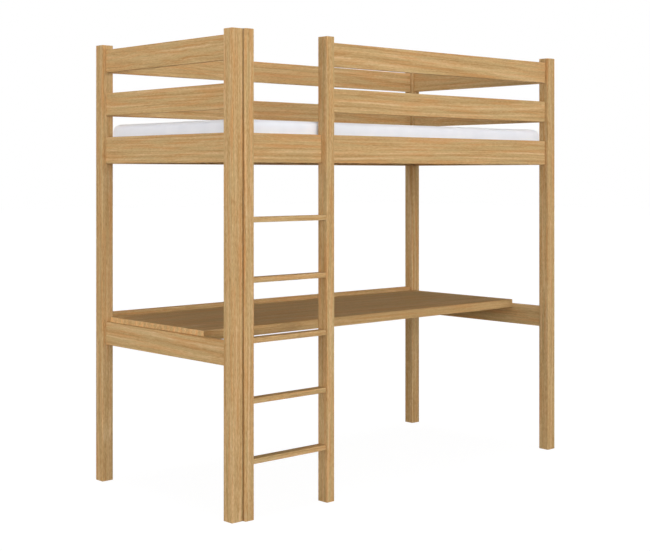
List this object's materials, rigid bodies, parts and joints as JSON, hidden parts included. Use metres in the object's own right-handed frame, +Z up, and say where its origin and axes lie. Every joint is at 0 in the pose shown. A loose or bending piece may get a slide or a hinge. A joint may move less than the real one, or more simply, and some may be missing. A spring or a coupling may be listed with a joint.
{
  "type": "cabin bed",
  "caption": "High single bed on four square posts with guard rails all round, a front ladder and a full-length desktop beneath the sleeping deck.",
  "frame": {"origin": "on the floor, under the middle of the whole outline, ladder included", "axes": "+X runs along the bed away from the ladder, +Y from the ladder side to the back, +Z up"},
  "size_m": [2.1, 1.027, 1.995],
  "materials": {
    "frame_wood": "satin clear-lacquered solid wood, straight fine grain, warm tan",
    "desktop_wood": "satin clear-lacquered solid wood panel of edge-glued staves",
    "slat_wood": "plain planed pale wood",
    "hidden_wood": "plain planed wood",
    "dowel_wood": "plain turned hardwood",
    "mattress_cover": "plain white woven cover",
    "zinc_steel": "bright zinc-plated steel",
    "capped_cam": "cam lock with its visible face under a matt printed foil cap in the wood's colour"
  },
  "bodies": {
    "frame": {"post_front_left": "frame_wood", "post_front_right": "frame_wood", "post_rear_left": "frame_wood", "post_rear_right": "frame_wood", "stile_left": "frame_wood", "stile_right": "frame_wood", "rung_1": "frame_wood", "rung_2": "frame_wood", "rung_3": "frame_wood", "rung_4": "frame_wood", "rung_5": "frame_wood", "guard_front_top": "frame_wood", "guard_front_mid": "frame_wood", "guard_rear_top": "frame_wood", "guard_rear_mid": "frame_wood", "guard_left_top": "frame_wood", "guard_left_mid": "frame_wood", "guard_right_top": "frame_wood", "guard_right_mid": "frame_wood", "bed_rail_front": "frame_wood", "bed_rail_rear": "frame_wood", "bed_rail_left": "frame_wood", "bed_rail_right": "frame_wood", "desk_rail_left": "frame_wood", "desk_rail_right": "frame_wood", "desk_rail_rear": "frame_wood", "desktop": "desktop_wood", "desk_cleat_left": "hidden_wood", "desk_cleat_right": "hidden_wood", "desk_cleat_rear": "hidden_wood", "bed_cleat_front": "hidden_wood", "bed_cleat_rear": "hidden_wood", "slat_01": "slat_wood", "slat_02": "slat_wood", "slat_03": "slat_wood", "slat_04": "slat_wood", "slat_05": "slat_wood", "slat_06": "slat_wood", "slat_07": "slat_wood", "slat_08": "slat_wood", "slat_09": "slat_wood", "slat_10": "slat_wood", "slat_11": "slat_wood", "slat_12": "slat_wood", "slat_13": "slat_wood", "dowels": "dowel_wood", "joint_bolts": "zinc_steel", "joint_cams": "capped_cam", "ladder_screws": "zinc_steel", "cleat_screws": "zinc_steel", "slat_screws": "zinc_steel", "desk_screws": "zinc_steel"},
    "mattress": {"mattress": "mattress_cover"}
  },
  "joints": [
    {"name": "mattress_lift", "type": "slide", "parent": "frame", "child": "mattress", "axis": [0, 0, 1], "range_m": [0, 0.5]}
  ]
}
